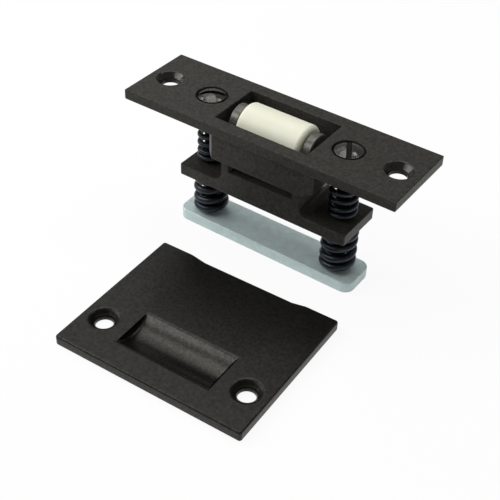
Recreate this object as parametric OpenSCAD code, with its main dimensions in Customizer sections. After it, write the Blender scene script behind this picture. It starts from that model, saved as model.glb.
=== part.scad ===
// Adjustable roller catch for a door edge, with its strike plate.
// Millimetres. The origin is the centre of the face plate's underside, between its mounting
// holes. X runs along the plate and Z points out of the door edge.

/* [Face plate] */
// Length of the face plate
plate_length = 85.7; // [80:0.1:100]
// Width of the face plate
plate_width = 25.4; // [24:0.1:32]
// Thickness of the face plate
plate_thickness = 3; // [2.6:0.1:5]
// Distance from a mounting hole to the near end of the plate
mount_hole_inset = 6.15; // [5:0.05:8]

/* [Guide well under the plate] */
// Depth of the well below the plate
well_depth = 9.3; // [6:0.1:11]
// Thickness of the well's long walls
well_side_wall = 2.1; // [1.5:0.1:3]
// Thickness of the well's end walls
well_end_wall = 2.3; // [1.5:0.1:4]
// Width of the bevels down the well's outer corners, along each side
well_bevel = 2.6; // [1:0.1:4]
// Room between the carrier and a long wall of the well
well_side_clearance = 0.7; // [0.3:0.05:1]
// Room between the carrier and an end wall of the well
well_end_clearance = 1.6; // [0.3:0.1:2]

/* [Mounting holes] */
// Diameter of a mounting screw hole
mount_hole_diameter = 4.8; // [3.6:0.1:5.2]
// Diameter of its countersink at the surface
mount_sink_diameter = 8; // [7:0.1:9.6]

/* [Roller] */
// Diameter of the roller
roller_diameter = 12.7; // [11:0.1:14]
// Length of the roller
roller_length = 20.2; // [14:0.1:24]
// Radius of the roller's rounded ends
roller_edge = 1.3; // [0.4:0.1:2]
// Height of the roller above the face plate
roller_projection = 1.75; // [1:0.05:4]
// Room between the roller and a lug
roller_end_clearance = 0.3; // [0.2:0.05:0.6]
// Diameter of the axle
axle_diameter = 3.2; // [2.4:0.1:4]
// Running clearance round the axle
axle_clearance = 0.05; // [0.02:0.01:0.1]
// Depth of an axle end inside its lug's outer face
axle_recess = 0.2; // [0.1:0.05:0.5]

/* [Carrier] */
// Depth of the carrier across the plate
carrier_depth = 15.7; // [13:0.1:16.5]
// Thickness of a roller lug
lug_thickness = 2.6; // [2:0.1:4]
// Radius of a lug's round top
lug_radius = 5; // [4:0.1:6]
// Height of a lug's upright sides above the base
lug_shoulder = 4.6; // [2:0.1:6]
// Room under the roller
roller_room = 6; // [4:0.1:8]
// Height of the base block
base_height = 7.6; // [6:0.1:10]
// Thickness of an ear
ear_thickness = 3.55; // [2.5:0.05:5]
// Distance from a screw to the end of its ear
ear_reach = 5.5; // [4.5:0.1:7]
// Radius of the ears' outer corners
ear_corner = 0.6; // [0.5:0.1:3]
// Radius of the fillet between the base and an ear
ear_fillet = 2.5; // [0.5:0.1:3]

/* [Adjusting screws] */
// Diameter of a screw's shank
screw_diameter = 4.2; // [3.5:0.1:4.8]
// Room between a screw and its guide holes
screw_clearance = 0.3; // [0.2:0.05:0.4]
// Clearance of a screw's thread in the backing bar
thread_clearance = 0.05; // [0.02:0.01:0.1]
// Diameter of a screw's head
head_diameter = 7.8; // [7:0.1:8.4]
// Height of the head's straight side
head_side = 1.3; // [0.8:0.1:1.5]
// Depth of the head's rim below the plate's face
head_recess = 0.15; // [0:0.05:0.3]
// Height of the head's dome above its rim
head_dome = 1.1; // [0.6:0.1:1.6]
// Inset of the dome's foot from the head's rim
dome_inset = 0.15; // [0.05:0.05:0.4]
// Room round the head in its counterbore
head_clearance = 0.6; // [0.2:0.05:0.7]
// Room under the head in its counterbore
head_seat_gap = 0.05; // [0.02:0.01:0.1]
// Width of the driver slot
slot_width = 1.4; // [0.8:0.1:1.6]
// Depth of the driver slot below the top of the dome
slot_depth = 1.3; // [0.8:0.1:1.6]
// Direction of the left screw's driver slot, in degrees
left_slot_angle = 34; // [-90:1:90]
// Direction of the right screw's driver slot, in degrees
right_slot_angle = -60; // [-90:1:90]
// Length of the taper at a screw's end
tip_taper = 0.6; // [0.3:0.1:1]
// Distance from a screw's end to the underside of the backing bar
tip_recess = 0.4; // [0.2:0.1:1]

/* [Springs] */
// Wire diameter of the upper springs
upper_wire = 1.6; // [1:0.1:1.8]
// Room between an upper spring and its screw
upper_spring_clearance = 0.45; // [0.3:0.05:0.6]
// Turns of an upper spring, with its closed ends
upper_turns = 7; // [5:0.5:8]
// Room between an upper spring and the well
spring_well_gap = 0.95; // [0.5:0.05:2]
// Wire diameter of the lower springs
lower_wire = 2.2; // [1.5:0.1:2.2]
// Room between a lower spring and its screw
lower_spring_clearance = 0.9; // [0.3:0.05:1.2]
// Turns of a lower spring, with its closed ends
lower_turns = 4; // [3.5:0.5:5]
// Fitted length of a lower spring
lower_spring_length = 14.15; // [13:0.05:18]
// Room at each end of a spring
spring_seat_gap = 0.05; // [0.02:0.01:0.1]

/* [Backing bar] */
// Width of the backing bar
bar_width = 12; // [11:0.1:16]
// Thickness of the backing bar
bar_thickness = 3.5; // [2.5:0.1:5]
// Distance from a screw to the end of the bar
bar_reach = 7.7; // [6:0.1:9]
// Radius of the bar's corners
bar_corner = 3; // [1:0.1:5]

/* [Strike plate] */
// Length of the strike plate
strike_length = 57.6; // [55:0.1:64]
// Width of the strike plate
strike_width = 47; // [42:0.1:52]
// Radius of the strike's corners
strike_corner = 0.8; // [0.4:0.1:3]
// Thickness of the strike plate
strike_thickness = 3.2; // [2.8:0.1:5]
// Distance between the strike's mounting holes
strike_hole_spacing = 45; // [42:0.1:46]
// Distance from the holes to the strike's front edge
strike_hole_inset = 12.3; // [8:0.1:16]
// Length of the roller pocket
pocket_length = 28.6; // [24:0.1:30]
// Width of the roller pocket at the surface
pocket_width = 12.9; // [10:0.1:16]
// Depth of the roller pocket
pocket_depth = 2.4; // [1.5:0.1:2.5]
// Distance from the pocket to the strike's front edge
pocket_inset = 7.4; // [5:0.1:10]
// Width of the flat land between the pocket and the ramp
ramp_land = 1; // [0.5:0.1:2]
// Depth of the lead-in ramp at the strike's back edge
ramp_depth = 0.9; // [0.5:0.1:2]
// Width of the ramp's sloping sides at the strike's back edge
ramp_flare = 4.5; // [1:0.1:8]
// Gap between the strike and the backing bar, seen from above
strike_gap = 14; // [8:0.1:30]
// Sideways place of the strike
strike_shift = 6.5; // [-20:0.1:20]
// Turn of the strike on its surface, in degrees
strike_turn = 2; // [-10:0.5:10]

/* [Hidden] */
$fn = 64;
// Extra length of every cutting shape
overrun = 1;
wire_sides = 8;
steps_per_turn = 18;
// Rise of a closed end turn in wire diameters, so that the turns just clear
closed_rise = 1.05;

// Lengths along the plate
lug_gap = roller_length + 2 * roller_end_clearance;
carrier_length = lug_gap + 2 * lug_thickness;
window_length = carrier_length + 2 * well_end_clearance;
window_width = carrier_depth + 2 * well_side_clearance;
well_length = window_length + 2 * well_end_wall;
well_width = window_width + 2 * well_side_wall;
upper_coil_radius = (screw_diameter + upper_wire) / 2 + upper_spring_clearance;
lower_coil_radius = (screw_diameter + lower_wire) / 2 + lower_spring_clearance;
axle_bore = axle_diameter + 2 * axle_clearance;
screw_x = well_length / 2 + spring_well_gap + upper_coil_radius + upper_wire / 2;
mount_x = plate_length / 2 - mount_hole_inset;

// Heights, from the face plate's underside
plate_under = 0;
plate_top = plate_under + plate_thickness;
well_bottom = plate_under - well_depth;
axle_z = plate_top + roller_projection - roller_diameter / 2;
base_top = axle_z - roller_diameter / 2 - roller_room;
base_bottom = base_top - base_height;
ear_top = base_bottom + ear_thickness;
bar_top = base_bottom - lower_spring_length;
floor_z = bar_top - bar_thickness;

// Screw head
screw_hole = screw_diameter + 2 * screw_clearance;
head_bore = head_diameter + 2 * head_clearance;
head_bore_depth = head_recess + head_side + head_seat_gap;
dome_foot = head_diameter / 2 - dome_inset;
dome_radius = (pow(dome_foot, 2) + pow(head_dome, 2)) / (2 * head_dome);

// Strike plate
pocket_radius = (pow(pocket_width / 2, 2) + pow(pocket_depth, 2)) / (2 * pocket_depth);
strike_y = -bar_width / 2 - strike_gap - strike_width / 2;
strike_front = -strike_width / 2;
pocket_y = strike_front + pocket_inset + pocket_width / 2;
ramp_start = pocket_y + pocket_width / 2 + ramp_land;

bronze = [0.20, 0.19, 0.17];
blued_steel = [0.13, 0.15, 0.18];
zinc = [0.68, 0.72, 0.74];
nylon = [0.93, 0.93, 0.86];
bright_steel = [0.62, 0.62, 0.60];

// Rectangle with round corners, centred
module rounded_rect(length, width, radius) {
    square([length - 2 * radius, width], center = true);
    square([length, width - 2 * radius], center = true);
    for (sx = [-1, 1])
        for (sy = [-1, 1])
            translate([sx * (length / 2 - radius), sy * (width / 2 - radius)])
                circle(r = radius);
}

// Rectangle with bevelled corners, centred
module bevelled_rect(length, width, bevel) {
    x = length / 2;
    y = width / 2;
    polygon([
        [x - bevel, -y], [x, bevel - y], [x, y - bevel], [x - bevel, y],
        [bevel - x, y], [-x, y - bevel], [-x, bevel - y], [bevel - x, -y]
    ]);
}

// Cutter for a countersunk hole whose mouth is at z = 0
module sunk_hole(hole, sink, depth) {
    sink_depth = (sink - hole) / 2;
    translate([0, 0, -depth - overrun])
        cylinder(d = hole, h = depth + 2 * overrun);
    translate([0, 0, -sink_depth])
        cylinder(d1 = hole, d2 = sink + 2 * overrun, h = sink_depth + overrun);
}

// Cutter for a counterbored hole whose mouth is at z = 0
module bored_hole(hole, bore, bore_depth, depth) {
    translate([0, 0, -depth - overrun])
        cylinder(d = hole, h = depth + 2 * overrun);
    translate([0, 0, -bore_depth])
        cylinder(d = bore, h = bore_depth + overrun);
}

// Places its children at both screws
module at_screws() {
    for (side = [-1, 1])
        translate([side * screw_x, 0, 0])
            children();
}

// Cast plate with the guide well under its window
module face_plate() {
    color(bronze) difference() {
        union() {
            translate([0, 0, plate_under])
                linear_extrude(plate_thickness)
                    square([plate_length, plate_width], center = true);
            translate([0, 0, well_bottom])
                linear_extrude(well_depth)
                    bevelled_rect(well_length, well_width, well_bevel);
        }
        translate([0, 0, well_bottom - overrun])
            linear_extrude(well_depth + plate_thickness + 2 * overrun)
                square([window_length, window_width], center = true);
        for (side = [-1, 1])
            translate([side * mount_x, 0, plate_top])
                sunk_hole(mount_hole_diameter, mount_sink_diameter, plate_thickness);
        at_screws()
            translate([0, 0, plate_top])
                bored_hole(screw_hole, head_bore, head_bore_depth, plate_thickness);
    }
}

// Outline of a lug across the plate, with its origin on the axle
module lug_outline() {
    foot = base_top - axle_z;
    shoulder = foot + lug_shoulder;
    half = carrier_depth / 2;
    reach = norm([half, shoulder]);
    tangent = atan2(shoulder, half) + acos(lug_radius / reach);
    polygon([
        [-half, foot], [half, foot], [half, shoulder],
        lug_radius * [cos(tangent), sin(tangent)],
        lug_radius * [-cos(tangent), sin(tangent)],
        [-half, shoulder]
    ]);
    circle(r = lug_radius);
}

// One casting: base block, two ears on the screws and two lugs for the axle
module roller_carrier() {
    color(bronze) difference() {
        union() {
            translate([-carrier_length / 2, -carrier_depth / 2, base_bottom])
                cube([carrier_length, carrier_depth, base_height]);
            translate([0, 0, base_bottom])
                linear_extrude(ear_thickness)
                    rounded_rect(2 * (screw_x + ear_reach), carrier_depth, ear_corner);
            for (side = [-1, 1]) {
                translate([side * (carrier_length - lug_thickness) / 2, 0, axle_z])
                    rotate([90, 0, 90])
                        linear_extrude(lug_thickness, center = true)
                            lug_outline();
                translate([side * carrier_length / 2, 0, ear_top])
                    ear_root(side);
            }
        }
        translate([0, 0, axle_z])
            rotate([0, 90, 0])
                cylinder(d = axle_bore, h = carrier_length + 2 * overrun, center = true);
        at_screws()
            translate([0, 0, base_bottom - overrun])
                cylinder(d = screw_hole, h = ear_thickness + 2 * overrun);
    }
}

// Fillet in the corner between the base's end and an ear's top
module ear_root(side) {
    mirror([side < 0 ? 1 : 0, 0, 0])
        rotate([90, 0, 0])
            linear_extrude(carrier_depth, center = true)
                difference() {
                    square(ear_fillet);
                    translate([ear_fillet, ear_fillet])
                        circle(r = ear_fillet);
                }
}

// Nylon roller with round ends, turning on the axle
module roller() {
    bore = axle_bore / 2;
    radius = roller_diameter / 2;
    color(nylon)
        translate([0, 0, axle_z])
            rotate([0, 90, 0])
                rotate_extrude()
                    union() {
                        translate([bore, -roller_length / 2])
                            square([radius - roller_edge - bore, roller_length]);
                        translate([bore, roller_edge - roller_length / 2])
                            square([radius - bore, roller_length - 2 * roller_edge]);
                        for (end = [-1, 1])
                            translate([radius - roller_edge, end * (roller_length / 2 - roller_edge)])
                                circle(r = roller_edge);
                    }
}

// Plain pin through both lugs
module roller_axle() {
    color(bright_steel)
        translate([0, 0, axle_z])
            rotate([0, 90, 0])
                cylinder(d = axle_diameter, h = carrier_length - 2 * axle_recess, center = true);
}

// Slotted screw with a domed cheese head, hung from the face plate and run through to the bar
module adjusting_screw(side, slot_angle) {
    rim_z = plate_top - head_recess;
    tip_z = floor_z + tip_recess;
    shank_top = rim_z - head_side;
    color(bronze)
        translate([side * screw_x, 0, 0])
            difference() {
                union() {
                    translate([0, 0, tip_z + tip_taper])
                        cylinder(d = screw_diameter, h = shank_top - tip_z - tip_taper);
                    translate([0, 0, tip_z])
                        cylinder(d1 = screw_diameter - 2 * tip_taper, d2 = screw_diameter, h = tip_taper);
                    translate([0, 0, shank_top])
                        cylinder(d = head_diameter, h = head_side);
                    intersection() {
                        translate([0, 0, rim_z + head_dome - dome_radius])
                            sphere(r = dome_radius);
                        translate([0, 0, rim_z])
                            cylinder(d = head_diameter, h = head_dome + overrun);
                    }
                }
                rotate([0, 0, slot_angle])
                    translate([0, 0, rim_z + head_dome - slot_depth / 2 + overrun / 2])
                        cube([head_diameter + 2 * overrun, slot_width, slot_depth + overrun], center = true);
            }
}

// Height of a coil after t turns, as a share of the turns: closed ends, open middle
function coil_rise(t, turns, wire, rise) =
    let (closed = closed_rise * wire,
         pitch = (rise - 2 * closed) / (turns - 2))
    t < 1 ? closed * t
    : t > turns - 1 ? rise - closed * (turns - t)
    : closed + pitch * (t - 1);

// Ring of wire points at turn t of a coil that starts at height low
function wire_ring(t, turns, radius, wire, low, rise) =
    [for (k = [0 : wire_sides - 1])
        let (a = 360 * k / wire_sides,
             reach = radius + wire / 2 * cos(a),
             z = low + coil_rise(t, turns, wire, rise) + wire / 2 * sin(a))
        [reach * cos(360 * t), reach * sin(360 * t), z]];

// Compression spring of round wire between two heights
module coil_spring(radius, wire, turns, seat_low, seat_high) {
    low = seat_low + spring_seat_gap + wire / 2;
    rise = seat_high - spring_seat_gap - wire / 2 - low;
    rings = ceil(turns * steps_per_turn);
    points = [for (i = [0 : rings]) each wire_ring(turns * i / rings, turns, radius, wire, low, rise)];
    skin = [for (i = [0 : rings - 1])
                for (k = [0 : wire_sides - 1])
                    let (n = (k + 1) % wire_sides,
                         here = i * wire_sides,
                         next = here + wire_sides)
                    each [[here + k, here + n, next + n], [here + k, next + n, next + k]]];
    first_cap = [for (k = [wire_sides - 1 : -1 : 0]) k];
    last_cap = [for (k = [0 : wire_sides - 1]) rings * wire_sides + k];
    polyhedron(points = points, faces = concat(skin, [first_cap, last_cap]));
}

// Spring between the face plate and an ear
module upper_spring(side) {
    color(blued_steel)
        translate([side * screw_x, 0, 0])
            coil_spring(upper_coil_radius, upper_wire, upper_turns, ear_top, plate_under);
}

// Spring between an ear and the backing bar
module lower_spring(side) {
    color(blued_steel)
        translate([side * screw_x, 0, 0])
            coil_spring(lower_coil_radius, lower_wire, lower_turns, bar_top, base_bottom);
}

// Plated strip that both screws thread into
module backing_bar() {
    color(zinc)
        difference() {
            translate([0, 0, floor_z])
                linear_extrude(bar_thickness)
                    rounded_rect(2 * (screw_x + bar_reach), bar_width, bar_corner);
            at_screws()
                translate([0, 0, floor_z - overrun])
                    cylinder(d = screw_diameter + 2 * thread_clearance, h = bar_thickness + 2 * overrun);
        }
}

// Plate for the door frame, with a pocket for the roller and a ramp that leads into it
module strike_plate() {
    color(bronze)
        translate([strike_shift, strike_y, floor_z + strike_thickness])
            rotate([0, 0, strike_turn])
                difference() {
                    translate([0, 0, -strike_thickness])
                        linear_extrude(strike_thickness)
                            rounded_rect(strike_length, strike_width, strike_corner);
                    translate([0, pocket_y, pocket_radius - pocket_depth])
                        rotate([0, 90, 0])
                            cylinder(r = pocket_radius, h = pocket_length, center = true);
                    translate([0, ramp_start, 0])
                        ramp_cut();
                    for (side = [-1, 1])
                        translate([side * strike_hole_spacing / 2, strike_front + strike_hole_inset, 0])
                            sunk_hole(mount_hole_diameter, mount_sink_diameter, strike_thickness);
                }
}

// Cutter for the ramp: it starts at the surface and sinks towards the strike's back edge
module ramp_cut() {
    run = strike_width / 2 - ramp_start;
    reach = norm([run, ramp_depth]) + overrun;
    height = ramp_depth + overrun;
    flare = ramp_flare * height / ramp_depth;
    half = pocket_length / 2;
    rotate([-atan(ramp_depth / run), 0, 0])
        translate([0, reach, 0])
            rotate([90, 0, 0])
                linear_extrude(reach)
                    polygon([[-half, 0], [half, 0], [half + flare, height], [-half - flare, height]]);
}

face_plate();
roller_carrier();
roller();
roller_axle();
adjusting_screw(-1, left_slot_angle);  // adjusting_screw_left
adjusting_screw(1, right_slot_angle);  // adjusting_screw_right
upper_spring(-1);  // upper_spring_left
upper_spring(1);  // upper_spring_right
lower_spring(-1);  // lower_spring_left
lower_spring(1);  // lower_spring_right
backing_bar();
strike_plate();
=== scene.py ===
import math

import bmesh
import bpy
from mathutils import Matrix, Vector


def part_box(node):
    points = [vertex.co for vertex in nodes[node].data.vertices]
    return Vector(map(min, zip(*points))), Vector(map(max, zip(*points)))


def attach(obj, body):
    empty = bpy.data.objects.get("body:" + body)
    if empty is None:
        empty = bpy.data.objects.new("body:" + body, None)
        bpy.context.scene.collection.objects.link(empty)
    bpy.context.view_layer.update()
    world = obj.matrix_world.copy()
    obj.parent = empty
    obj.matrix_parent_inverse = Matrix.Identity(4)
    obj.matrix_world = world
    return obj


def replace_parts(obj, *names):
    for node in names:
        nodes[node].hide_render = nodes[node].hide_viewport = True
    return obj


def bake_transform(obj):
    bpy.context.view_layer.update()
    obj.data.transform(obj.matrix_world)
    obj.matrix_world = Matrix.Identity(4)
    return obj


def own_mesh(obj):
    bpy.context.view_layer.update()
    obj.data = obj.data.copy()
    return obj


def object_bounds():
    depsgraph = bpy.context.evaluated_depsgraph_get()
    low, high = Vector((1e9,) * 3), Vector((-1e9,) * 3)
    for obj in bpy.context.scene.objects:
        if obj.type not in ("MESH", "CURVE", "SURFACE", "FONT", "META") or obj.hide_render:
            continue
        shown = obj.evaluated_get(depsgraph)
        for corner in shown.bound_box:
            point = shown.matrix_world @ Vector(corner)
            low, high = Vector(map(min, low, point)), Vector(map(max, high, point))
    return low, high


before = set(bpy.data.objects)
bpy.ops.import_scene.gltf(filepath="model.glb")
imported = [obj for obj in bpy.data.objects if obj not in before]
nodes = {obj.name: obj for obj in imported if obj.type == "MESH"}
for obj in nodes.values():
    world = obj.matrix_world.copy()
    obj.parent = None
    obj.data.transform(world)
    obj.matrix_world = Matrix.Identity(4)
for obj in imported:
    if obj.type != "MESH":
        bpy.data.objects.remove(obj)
cad_low, cad_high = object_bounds()
MM = 0.001

# Edges of the pieces: how far each one's corners are eased
PLATE_EASE = 0.3 * MM
CARRIER_EASE = 0.3 * MM
STRIKE_EASE = 0.6 * MM
BAR_EASE = 0.35 * MM
ROLLER_EASE = 0.12 * MM
AXLE_EASE = 0.15 * MM
HEAD_EASE = 0.08 * MM
EASE_SEGMENTS = 4
CORNER_ANGLE = math.radians(25)
FLAT_ANGLE = math.radians(0.2)
FLAT_WEIGHT = 80
WELD = 0.002 * MM
CUT_REACH = 0.0002 * MM

# Springs, as they are wound
UPPER_WIRE = 1.6 * MM
UPPER_TURNS = 7
LOWER_WIRE = 2.2 * MM
LOWER_TURNS = 4
CLOSED_TURNS = 1
CLOSED_RISE = 1.05
WIRE_SIDES = 20
COIL_STEPS = 56
WIRE_END = math.radians(124)

# Countersinks of the mounting holes: upward share of their cones' normals
SINK_TILT = math.cos(math.radians(45))
SINK_TOLERANCE = 0.02
SUNK = 1

# Pocket of the strike: how its hollow is told from the flats, the ramp and the end walls
POCKET_DEEP = 1.0 * MM
POCKET_SLOPES = (0.3, 0.985)
POCKET_SIDEWAYS = 0.06
HOLLOW = 2

# Lugs of the carrier: height above which they are rubbed, lighter partly as wear and partly as a painted
# highlight
LUG_HIGHLIGHT_HEIGHT = -1.5 * MM
RUBBED_HIGHLIGHT = 1

# Adjusting screws: cut thread below, slotted head above
PITCH = 0.794 * MM
THREAD_DEPTH = 0.45 * MM
THREAD_FLATS = (0.16, 0.46, 0.62)
THREAD_STEPS = 40
THREAD_LEAD = 2
THREAD_SPARE = 3
TIP_TAPER = 0.6 * MM
HEAD_HEIGHT = 2.7 * MM
NECK_OVERLAP = 0.2 * MM
SLOT_WIDTH = 1.4 * MM
SLOT_DEPTH = 1.3 * MM
SLOT_MARGIN = 0.01 * MM
SLOT_ANGLES = {"left": math.radians(34), "right": math.radians(-60)}
DULL_SHADED = 1

# Dark bronze: its warm cast in body and sheen, how far its grain spreads, and on each surface its
# tone, roughness and gloss
BRONZE_HUE = (1.0, 0.965, 0.86)
SHEEN_HUE = (1.0, 0.96, 0.87)
GRAIN = 0.34
ROUGH_GRAIN = 0.07
BRONZES = {
    "oil_rubbed_bronze": (0.036, 0.36, 0.13),
    # Strike and its pocket: darker copies of the plate's bronze, their low tone painted shade
    "strike_shaded_bronze": (0.0055, 0.35, 0.3),
    # Lug tops: lighter partly as rubbed wear and partly as a painted highlight
    "rubbed_highlight_bronze": (0.085, 0.26, 0.6),
    "turned_bronze": (0.018, 0.17, 0.7),
    # Slot and thread: dull, their darker tone painted shade
    "slot_and_thread_shade_bronze": (0.006, 0.5, 0.15),
    # Countersinks: glossier as cut smooth, their darker tone painted shade
    "sink_shade_bronze": (0.008, 0.24, 0.4),
    "strike_sink_shade_bronze": (0.004, 0.34, 0.16),
    "pocket_shaded_bronze": (0.004, 0.28, 0.42),
}

# Other finishes: dark and light tones, least and most roughness, and how metallic they look
WIRE_TONES = ((0.019, 0.023, 0.029), (0.036, 0.042, 0.050))
WIRE_ROUGH = (0.28, 0.4)
WIRE_METAL = 0.85
ZINC_TONES = ((0.52, 0.64, 0.635), (0.68, 0.82, 0.80))
ZINC_ROUGH = (0.4, 0.5)
ZINC_METAL = 0.3
ROLLING_STRETCH = (0.08, 1.0, 1.0)
NYLON_TONES = ((0.80, 0.80, 0.65), (0.84, 0.84, 0.70))
NYLON_ROUGH = (0.36, 0.46)
NYLON_SCATTER = 0.35
NYLON_SCATTER_HUE = (1.0, 1.0, 0.8)
NYLON_SCATTER_DEPTH = 1.5 * MM
STEEL_TONES = ((0.36, 0.36, 0.35), (0.46, 0.46, 0.44))
STEEL_ROUGH = (0.25, 0.38)
STEEL_METAL = 1.0

# Noise in the finishes: features per metre, detail and roughness, and the span of its values in use
BRONZE_CLOUD = (1100, 3.0, 0.75)
BRONZE_FLECK = (1500, 3.0, 0.6)
BRONZE_GRAIN = (4200, 2.0, 0.6)
WIRE_CLOUD = (260, 4.0, 0.6)
WIRE_STREAK = (2600, 2.0, 0.6)
ZINC_PATCH = (420, 5.0, 0.7)
ZINC_ROLLED = (3800, 3.0, 0.6)
NYLON_CLOUD = (180, 4.0, 0.6)
NYLON_SKIN = (2400, 2.0, 0.6)
STEEL_RING = (3000, 2.0, 0.6)
NOISE_SPAN = (0.3, 0.7)

# Relief of the finishes: strength and depth
FLECK_RELIEF = (0.08, 0.05 * MM)
GRAIN_RELIEF = (0.10, 0.02 * MM)
STREAK_RELIEF = (0.08, 0.02 * MM)
ROLLED_RELIEF = (0.12, 0.02 * MM)
SKIN_RELIEF = (0.06, 0.02 * MM)
RING_RELIEF = (0.08, 0.02 * MM)

# Camera, fitted to the photograph: angles in degrees, lengths in mm from the plate's outer face
IMAGE_PX = 500
FOCAL_PX = 1023.3
AZIMUTH = 33.83
ELEVATION = 39.64
ROLL = 2.2
ASIDE = 7.55
UPWARD = 34.31
DISTANCE = 272.66
SENSOR = 36.0
NEAREST = 0.01

# Studio: a white sweep, dim surroundings and lamps as (place in metres, width in metres, watts)
FLOOR_SIZE = 40.0
FLOOR_WHITENING = 0.92
FLOOR_COLOUR = (0.92, 0.92, 0.92, 1.0)
FLOOR_ROUGH = 0.9
FLOOR_GLOSS = 0.1
WHITE = (1.0, 1.0, 1.0, 1.0)
WHITE_LEVEL = 1.0
WORLD_LEVEL = 0.24
LAMPS = {
    "left": ((-0.486, -0.13, 0.327), 0.34, 1.7),
    "front": ((-0.273, -0.325, 0.424), 0.25, 0.7),
    "top": ((-0.125, 0.072, 0.582), 0.4, 1.3),
    "right": ((0.116, 0.229, 0.455), 0.12, 0.25),
    "back": ((-0.36, 0.25, 0.41), 0.3, 0.25),
}


def mesh_piece(name, bm, material):
    """Object at the origin from a finished bmesh, shaded smooth with its flats kept flat."""
    mesh = bpy.data.meshes.new(name)
    bm.to_mesh(mesh)
    bm.free()
    mesh.shade_smooth()
    piece = bpy.data.objects.new(name, mesh)
    bpy.context.scene.collection.objects.link(piece)
    piece.data.materials.append(material)
    flats = piece.modifiers.new("flats", "WEIGHTED_NORMAL")
    flats.weight = FLAT_WEIGHT
    return piece


def node_copy(node):
    """Merged copy of a CAD node's mesh, with its flat faces joined up."""
    bm = bmesh.new()
    bm.from_mesh(nodes[node].data)
    bmesh.ops.remove_doubles(bm, verts=bm.verts, dist=WELD)
    bmesh.ops.dissolve_limit(bm, angle_limit=FLAT_ANGLE, verts=bm.verts, edges=bm.edges)
    return bm


def ease_corners(bm, width):
    """Rounds every sharp edge of a closed mesh a little, as casting and tumbling leave it."""
    sharp = [e for e in bm.edges if e.is_manifold and e.calc_face_angle(0) > CORNER_ANGLE]
    bmesh.ops.bevel(bm, geom=sharp, offset=width, offset_type="OFFSET", affect="EDGES",
                    segments=EASE_SEGMENTS, profile=0.5, material=-1, clamp_overlap=False)
    return bm


def mark_sinks(bm):
    """Sets the cones of the countersinks apart, which are cut smooth; their darker tone is painted shade.
    """
    for face in bm.faces:
        if abs(face.normal.z - SINK_TILT) < SINK_TOLERANCE:
            face.material_index = SUNK


def mark_pocket(bm):
    """Sets the strike's hollow apart, which the roller keeps smooth; its low tone, like the strike's, is
    painted shade.
    """
    top = max(vert.co.z for vert in bm.verts)
    flattest, steepest = POCKET_SLOPES[1], POCKET_SLOPES[0]
    for face in bm.faces:
        lengthwise = abs(face.normal.x) < POCKET_SIDEWAYS and face.material_index != SUNK
        hollow = lengthwise and steepest < face.normal.z < flattest
        deep = face.normal.z > steepest and face.calc_center_median().z < top - POCKET_DEEP
        if hollow or deep:
            face.material_index = HOLLOW


def eased_node(node, name, width, material, body, marks=()):
    """Piece that stands for a CAD node, with eased corners, and its marked faces in their own finishes."""
    bm = node_copy(node)
    for mark, _ in marks:
        mark(bm)
    piece = mesh_piece(name, ease_corners(bm, width), material)
    for _, finish in marks:
        piece.data.materials.append(finish)
    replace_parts(piece, node)
    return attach(piece, body)


def rub_and_highlight_lugs(piece, finish):
    """Brighter finish on the round tops of the carrier's lugs, where the finish is rubbed off and a
    highlight is painted.
    """
    piece.data.materials.append(finish)
    for face in piece.data.polygons:
        if face.center.z > LUG_HIGHLIGHT_HEIGHT:
            face.material_index = RUBBED_HIGHLIGHT


def start_material(name):
    """New material, its node tree, its shader and its object coordinates."""
    material = bpy.data.materials.new(name)
    material.use_nodes = True
    tree = material.node_tree
    place = tree.nodes.new("ShaderNodeTexCoord").outputs["Object"]
    return material, tree, tree.nodes["Principled BSDF"], place


def mottle(tree, place, noise):
    """Noise over the piece."""
    scale, detail, roughness = noise
    mottling = tree.nodes.new("ShaderNodeTexNoise")
    mottling.inputs["Scale"].default_value = scale
    mottling.inputs["Detail"].default_value = detail
    mottling.inputs["Roughness"].default_value = roughness
    tree.links.new(place, mottling.inputs["Vector"])
    return mottling.outputs["Fac"]


def spread(tree, value, low, high, socket):
    """Maps a noise value to a range and gives it to a socket of the shader."""
    remap = tree.nodes.new("ShaderNodeMapRange")
    remap.inputs["From Min"].default_value = NOISE_SPAN[0]
    remap.inputs["From Max"].default_value = NOISE_SPAN[1]
    remap.inputs["To Min"].default_value = low
    remap.inputs["To Max"].default_value = high
    tree.links.new(value, remap.inputs["Value"])
    tree.links.new(remap.outputs["Result"], socket)


def tint(tree, value, shades, socket):
    """Maps a noise value to colours from dark to light and gives them to a socket of the shader."""
    ramp = tree.nodes.new("ShaderNodeValToRGB")
    for element, position, colour in zip(ramp.color_ramp.elements, NOISE_SPAN, shades):
        element.position = position
        element.color = (*colour, 1.0)
    tree.links.new(value, ramp.inputs["Fac"])
    tree.links.new(ramp.outputs["Color"], socket)


def relief(tree, shader, *heights):
    """Chain of bumps, each from a noise value and its strength and depth."""
    normal = None
    for value, (strength, depth) in heights:
        bump = tree.nodes.new("ShaderNodeBump")
        bump.inputs["Strength"].default_value = strength
        bump.inputs["Distance"].default_value = depth
        tree.links.new(value, bump.inputs["Height"])
        if normal:
            tree.links.new(normal, bump.inputs["Normal"])
        normal = bump.outputs["Normal"]
    tree.links.new(normal, shader.inputs["Normal"])


def dark_bronze(name, tone, rough, gloss):
    """Oil-rubbed bronze on cast brass: near black, warm, with a fine satin grain."""
    material, tree, shader, place = start_material(name)
    cloud = mottle(tree, place, BRONZE_CLOUD)
    fleck = mottle(tree, place, BRONZE_FLECK)
    grain = mottle(tree, place, BRONZE_GRAIN)
    shades = [[share * tone * hue for hue in BRONZE_HUE] for share in (1 - GRAIN, 1 + GRAIN)]
    tint(tree, cloud, shades, shader.inputs["Base Color"])
    spread(tree, fleck, (1 - ROUGH_GRAIN) * rough, (1 + ROUGH_GRAIN) * rough, shader.inputs["Roughness"])
    spread(tree, cloud, (1 - GRAIN) * gloss, (1 + GRAIN) * gloss, shader.inputs["Specular IOR Level"])
    shader.inputs["Specular Tint"].default_value = (*SHEEN_HUE, 1.0)
    relief(tree, shader, (fleck, FLECK_RELIEF), (grain, GRAIN_RELIEF))
    return material


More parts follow.
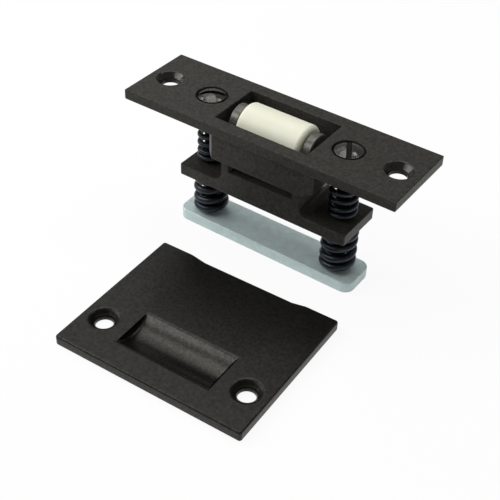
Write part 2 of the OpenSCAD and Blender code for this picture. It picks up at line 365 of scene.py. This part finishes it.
def spring_wire():
    """Blue-black drawn wire with a faint oily sheen."""
    material, tree, shader, place = start_material("blue_black_wire")
    streak = mottle(tree, place, WIRE_STREAK)
    tint(tree, mottle(tree, place, WIRE_CLOUD), WIRE_TONES, shader.inputs["Base Color"])
    spread(tree, streak, *WIRE_ROUGH, shader.inputs["Roughness"])
    shader.inputs["Metallic"].default_value = WIRE_METAL
    relief(tree, shader, (streak, STREAK_RELIEF))
    return material


def zinc():
    """Bright zinc plate on rolled steel, with pale patches and fine rolling marks."""
    material, tree, shader, place = start_material("zinc_plating")
    patch = mottle(tree, place, ZINC_PATCH)
    stretch = tree.nodes.new("ShaderNodeMapping")
    stretch.inputs["Scale"].default_value = ROLLING_STRETCH
    tree.links.new(place, stretch.inputs["Vector"])
    rolled = mottle(tree, stretch.outputs["Vector"], ZINC_ROLLED)
    tint(tree, patch, ZINC_TONES, shader.inputs["Base Color"])
    spread(tree, patch, *ZINC_ROUGH, shader.inputs["Roughness"])
    shader.inputs["Metallic"].default_value = ZINC_METAL
    relief(tree, shader, (rolled, ROLLED_RELIEF))
    return material


def nylon():
    """Cream moulded nylon, faintly mottled, with a satin skin."""
    material, tree, shader, place = start_material("cream_nylon")
    skin = mottle(tree, place, NYLON_SKIN)
    tint(tree, mottle(tree, place, NYLON_CLOUD), NYLON_TONES, shader.inputs["Base Color"])
    spread(tree, skin, *NYLON_ROUGH, shader.inputs["Roughness"])
    shader.inputs["Subsurface Weight"].default_value = NYLON_SCATTER
    shader.inputs["Subsurface Radius"].default_value = NYLON_SCATTER_HUE
    shader.inputs["Subsurface Scale"].default_value = NYLON_SCATTER_DEPTH
    relief(tree, shader, (skin, SKIN_RELIEF))
    return material


def ground_steel():
    """Plain ground pin steel."""
    material, tree, shader, place = start_material("ground_steel")
    ring = mottle(tree, place, STEEL_RING)
    tint(tree, ring, STEEL_TONES, shader.inputs["Base Color"])
    spread(tree, ring, *STEEL_ROUGH, shader.inputs["Roughness"])
    shader.inputs["Metallic"].default_value = STEEL_METAL
    relief(tree, shader, (ring, RING_RELIEF))
    return material


def coil_spring(node, name, wire, turns, material):
    """Smooth wire spring with closed ends, in the place of its CAD node."""
    low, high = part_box(node)
    middle = (low + high) / 2
    coil_radius = (high.x - low.x - wire) / 2
    closed = CLOSED_TURNS * CLOSED_RISE * wire
    rise = high.z - low.z - wire
    bm = bmesh.new()
    upright = Matrix.Rotation(math.pi / 2, 4, "X")
    outward = Matrix.Translation((coil_radius, 0, low.z + wire / 2))
    wire_start = Matrix.Rotation(WIRE_END, 4, "Z") @ outward @ upright
    bmesh.ops.create_circle(bm, cap_ends=False, segments=WIRE_SIDES, radius=wire / 2, matrix=wire_start)
    ring = bm.verts[:] + bm.edges[:]
    open_part = (turns - 2 * CLOSED_TURNS, rise - 2 * closed)
    for share, climb in ((CLOSED_TURNS, closed), open_part, (CLOSED_TURNS, closed)):
        steps = round(share * COIL_STEPS)
        turned = bmesh.ops.spin(bm, geom=ring, cent=(0, 0, 0), axis=(0, 0, 1), dvec=(0, 0, climb / steps),
                                angle=math.tau * share, steps=steps)
        ring = turned["geom_last"]
    bmesh.ops.holes_fill(bm, edges=[e for e in bm.edges if e.is_boundary], sides=0)
    bmesh.ops.translate(bm, verts=bm.verts, vec=(middle.x, 0, 0))
    bmesh.ops.recalc_face_normals(bm, faces=bm.faces)
    piece = mesh_piece(name, bm, material)
    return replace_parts(piece, node)


def cut_flat(bm, height, keep_above):
    """Cuts a closed mesh level at a height and closes the cut."""
    geometry = bm.verts[:] + bm.edges[:] + bm.faces[:]
    bmesh.ops.bisect_plane(bm, geom=geometry, dist=CUT_REACH, plane_co=(0, 0, height), plane_no=(0, 0, 1),
                           clear_inner=keep_above, clear_outer=not keep_above)
    rim = [e for e in bm.edges if e.is_boundary and all(abs(v.co.z - height) < WELD for v in e.verts)]
    bmesh.ops.contextual_create(bm, geom=rim)


def threaded_rod(low, high, crest):
    """Closed rod with a helical thread, standing on the origin's axis."""
    root = crest - THREAD_DEPTH
    foot, shoulder, top = (share * PITCH for share in THREAD_FLATS)
    profile = ((root, 0.0), (root, foot), (crest, shoulder), (crest, top), (root, PITCH))
    bm = bmesh.new()
    start = low - THREAD_LEAD * PITCH
    points = [bm.verts.new((radius, 0, start + height)) for radius, height in profile]
    ridge = [bm.edges.new(pair) for pair in zip(points, points[1:])]
    turns = math.ceil((high - low) / PITCH) + THREAD_SPARE
    bmesh.ops.spin(bm, geom=points + ridge, cent=(0, 0, 0), axis=(0, 0, 1),
                   dvec=(0, 0, PITCH / THREAD_STEPS), angle=math.tau * turns, steps=THREAD_STEPS * turns)
    bmesh.ops.remove_doubles(bm, verts=bm.verts, dist=WELD)
    cut_flat(bm, low, keep_above=True)
    cut_flat(bm, high, keep_above=False)
    for vert in bm.verts:
        reach = math.hypot(vert.co.x, vert.co.y)
        allowed = crest - TIP_TAPER + (vert.co.z - low)
        if reach > allowed:
            vert.co.x *= allowed / reach
            vert.co.y *= allowed / reach
    bmesh.ops.recalc_face_normals(bm, faces=bm.faces)
    return bm


def adjusting_screw(side, crown_finish, dull_shaded_finish):
    """Slotted screw: the CAD node's head over a cut thread, with a dull finish and painted shade in slot
    and thread.
    """
    node = "adjusting_screw_" + side
    low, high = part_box(node)
    middle = (low + high) / 2
    neck = high.z - HEAD_HEIGHT
    head = node_copy(node)
    cut_flat(head, neck, keep_above=True)
    crest = max(v.co.x - middle.x for v in head.verts if v.co.z < neck + WELD)
    ease_corners(head, HEAD_EASE)
    across = Vector((-math.sin(SLOT_ANGLES[side]), math.cos(SLOT_ANGLES[side]), 0))
    # Faces in the slot take the darker finish, painted shade
    for face in head.faces:
        centre = face.calc_center_median() - middle
        in_slot = abs(centre.dot(across)) < SLOT_WIDTH / 2 + SLOT_MARGIN
        if in_slot and centre.z > high.z - middle.z - SLOT_DEPTH - HEAD_EASE:
            face.material_index = DULL_SHADED
    rod = threaded_rod(low.z, neck + NECK_OVERLAP, crest)
    for face in rod.faces:
        face.material_index = DULL_SHADED
    bmesh.ops.translate(rod, verts=rod.verts, vec=(middle.x, 0, 0))
    shank = bpy.data.meshes.new("shank")
    rod.to_mesh(shank)
    rod.free()
    head.from_mesh(shank)
    bpy.data.meshes.remove(shank)
    piece = mesh_piece("screw_" + side, head, crown_finish)
    piece.data.materials.append(dull_shaded_finish)
    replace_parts(piece, node)
    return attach(piece, "screw_" + side)


def upper_spring(side, material):
    """Spring under the face plate: it rides on the carrier."""
    node = "upper_spring_" + side
    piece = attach(coil_spring(node, "spring_above_" + side, UPPER_WIRE, UPPER_TURNS, material), "carrier")
    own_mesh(piece)


def lower_spring(side, material):
    """Spring on the bar, its mesh baked where it stands."""
    node = "lower_spring_" + side
    piece = coil_spring(node, "spring_below_" + side, LOWER_WIRE, LOWER_TURNS, material)
    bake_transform(piece)


def floor_material():
    """White sweep that shows as white and still takes the object's soft shadow."""
    material, tree, shader, _ = start_material("white_sweep")
    shader.inputs["Base Color"].default_value = FLOOR_COLOUR
    shader.inputs["Roughness"].default_value = FLOOR_ROUGH
    shader.inputs["Specular IOR Level"].default_value = FLOOR_GLOSS
    path = tree.nodes.new("ShaderNodeLightPath")
    seen = path.outputs["Is Camera Ray"]
    for ray in ("Is Glossy Ray", "Is Transmission Ray"):
        either = tree.nodes.new("ShaderNodeMath")
        either.operation = "MAXIMUM"
        tree.links.new(seen, either.inputs[0])
        tree.links.new(path.outputs[ray], either.inputs[1])
        seen = either.outputs[0]
    part = tree.nodes.new("ShaderNodeMath")
    part.operation = "MULTIPLY"
    part.inputs[1].default_value = FLOOR_WHITENING
    tree.links.new(seen, part.inputs[0])
    glow = tree.nodes.new("ShaderNodeEmission")
    glow.inputs["Strength"].default_value = WHITE_LEVEL
    mix = tree.nodes.new("ShaderNodeMixShader")
    tree.links.new(part.outputs[0], mix.inputs["Fac"])
    tree.links.new(shader.outputs["BSDF"], mix.inputs[1])
    tree.links.new(glow.outputs["Emission"], mix.inputs[2])
    tree.links.new(mix.outputs["Shader"], tree.nodes["Material Output"].inputs["Surface"])
    return material


def lay_floor():
    """Pale floor at the level that the bar and the strike stand on."""
    bm = bmesh.new()
    bmesh.ops.create_grid(bm, x_segments=1, y_segments=1, size=FLOOR_SIZE / 2,
                          matrix=Matrix.Translation((0, 0, cad_low.z)))
    mesh = bpy.data.meshes.new("floor")
    bm.to_mesh(mesh)
    bm.free()
    floor = bpy.data.objects.new("floor", mesh)
    bpy.context.scene.collection.objects.link(floor)
    mesh.materials.append(floor_material())


def light_world():
    """Even, dim grey surroundings, so that the softboxes shape the pieces."""
    world = bpy.data.worlds.new("studio")
    bpy.context.scene.world = world
    world.use_nodes = True
    background = world.node_tree.nodes["Background"]
    background.inputs["Color"].default_value = WHITE
    background.inputs["Strength"].default_value = WORLD_LEVEL


def softbox(name, place, aim, size, watts):
    """Square area lamp at a place in metres, facing a point."""
    lamp = bpy.data.lights.new(name, "AREA")
    lamp.shape = "SQUARE"
    lamp.size = size
    lamp.energy = watts
    holder = bpy.data.objects.new(name, lamp)
    holder.location = place
    holder.rotation_euler = (Vector(place) - Vector(aim)).to_track_quat("Z", "Y").to_euler()
    bpy.context.scene.collection.objects.link(holder)


def place_camera():
    """Camera of the photograph, looking down on the catch from its front right."""
    azimuth, elevation, roll = (math.radians(angle) for angle in (AZIMUTH, ELEVATION, ROLL))
    back = Vector((math.sin(azimuth) * math.cos(elevation), -math.cos(azimuth) * math.cos(elevation),
                   math.sin(elevation)))
    level = Vector((math.cos(azimuth), math.sin(azimuth), 0))
    upright = back.cross(level)
    right = level * math.cos(roll) + upright * math.sin(roll)
    up = upright * math.cos(roll) - level * math.sin(roll)
    data = bpy.data.cameras.new("camera")
    data.sensor_width = SENSOR
    data.lens = FOCAL_PX / IMAGE_PX * SENSOR
    data.clip_start = NEAREST
    camera = bpy.data.objects.new("camera", data)
    plate_face = Vector((0, 0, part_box("face_plate")[1].z))
    stand = plate_face + (back * DISTANCE - right * ASIDE - up * UPWARD) * MM
    turn = Matrix((right, up, back)).transposed().to_4x4()
    camera.matrix_world = Matrix.Translation(stand) @ turn
    bpy.context.scene.collection.objects.link(camera)
    bpy.context.scene.camera = camera


place_camera()
lay_floor()
light_world()
middle = (cad_low + cad_high) / 2
for lamp, (place, width, watts) in LAMPS.items():
    softbox(lamp, place, middle, width, watts)

bronzes = {name: dark_bronze(name, *finish) for name, finish in BRONZES.items()}
bronze = bronzes["oil_rubbed_bronze"]
wire = spring_wire()
plate_marks = ((mark_sinks, bronzes["sink_shade_bronze"]),)
strike_marks = ((mark_sinks, bronzes["strike_sink_shade_bronze"]), (mark_pocket, bronzes["pocket_shaded_bronze"]))

eased_node("face_plate", "plate", PLATE_EASE, bronze, "frame", plate_marks)
# The strike's darker bronze is painted shade
eased_node("strike_plate", "strike", STRIKE_EASE, bronzes["strike_shaded_bronze"], "frame",
           strike_marks)
carrier = eased_node("roller_carrier", "carrier_casting", CARRIER_EASE, bronze, "carrier")
rub_and_highlight_lugs(carrier, bronzes["rubbed_highlight_bronze"])
eased_node("backing_bar", "bar_strip", BAR_EASE, zinc(), "bar")
eased_node("roller", "nylon_roller", ROLLER_EASE, nylon(), "roller")
eased_node("roller_axle", "axle_pin", AXLE_EASE, ground_steel(), "carrier")
for side in ("left", "right"):
    adjusting_screw(side, bronzes["turned_bronze"], bronzes["slot_and_thread_shade_bronze"])
    upper_spring(side, wire)
    lower_spring(side, wire)

bpy.context.scene.view_settings.view_transform = "Standard"
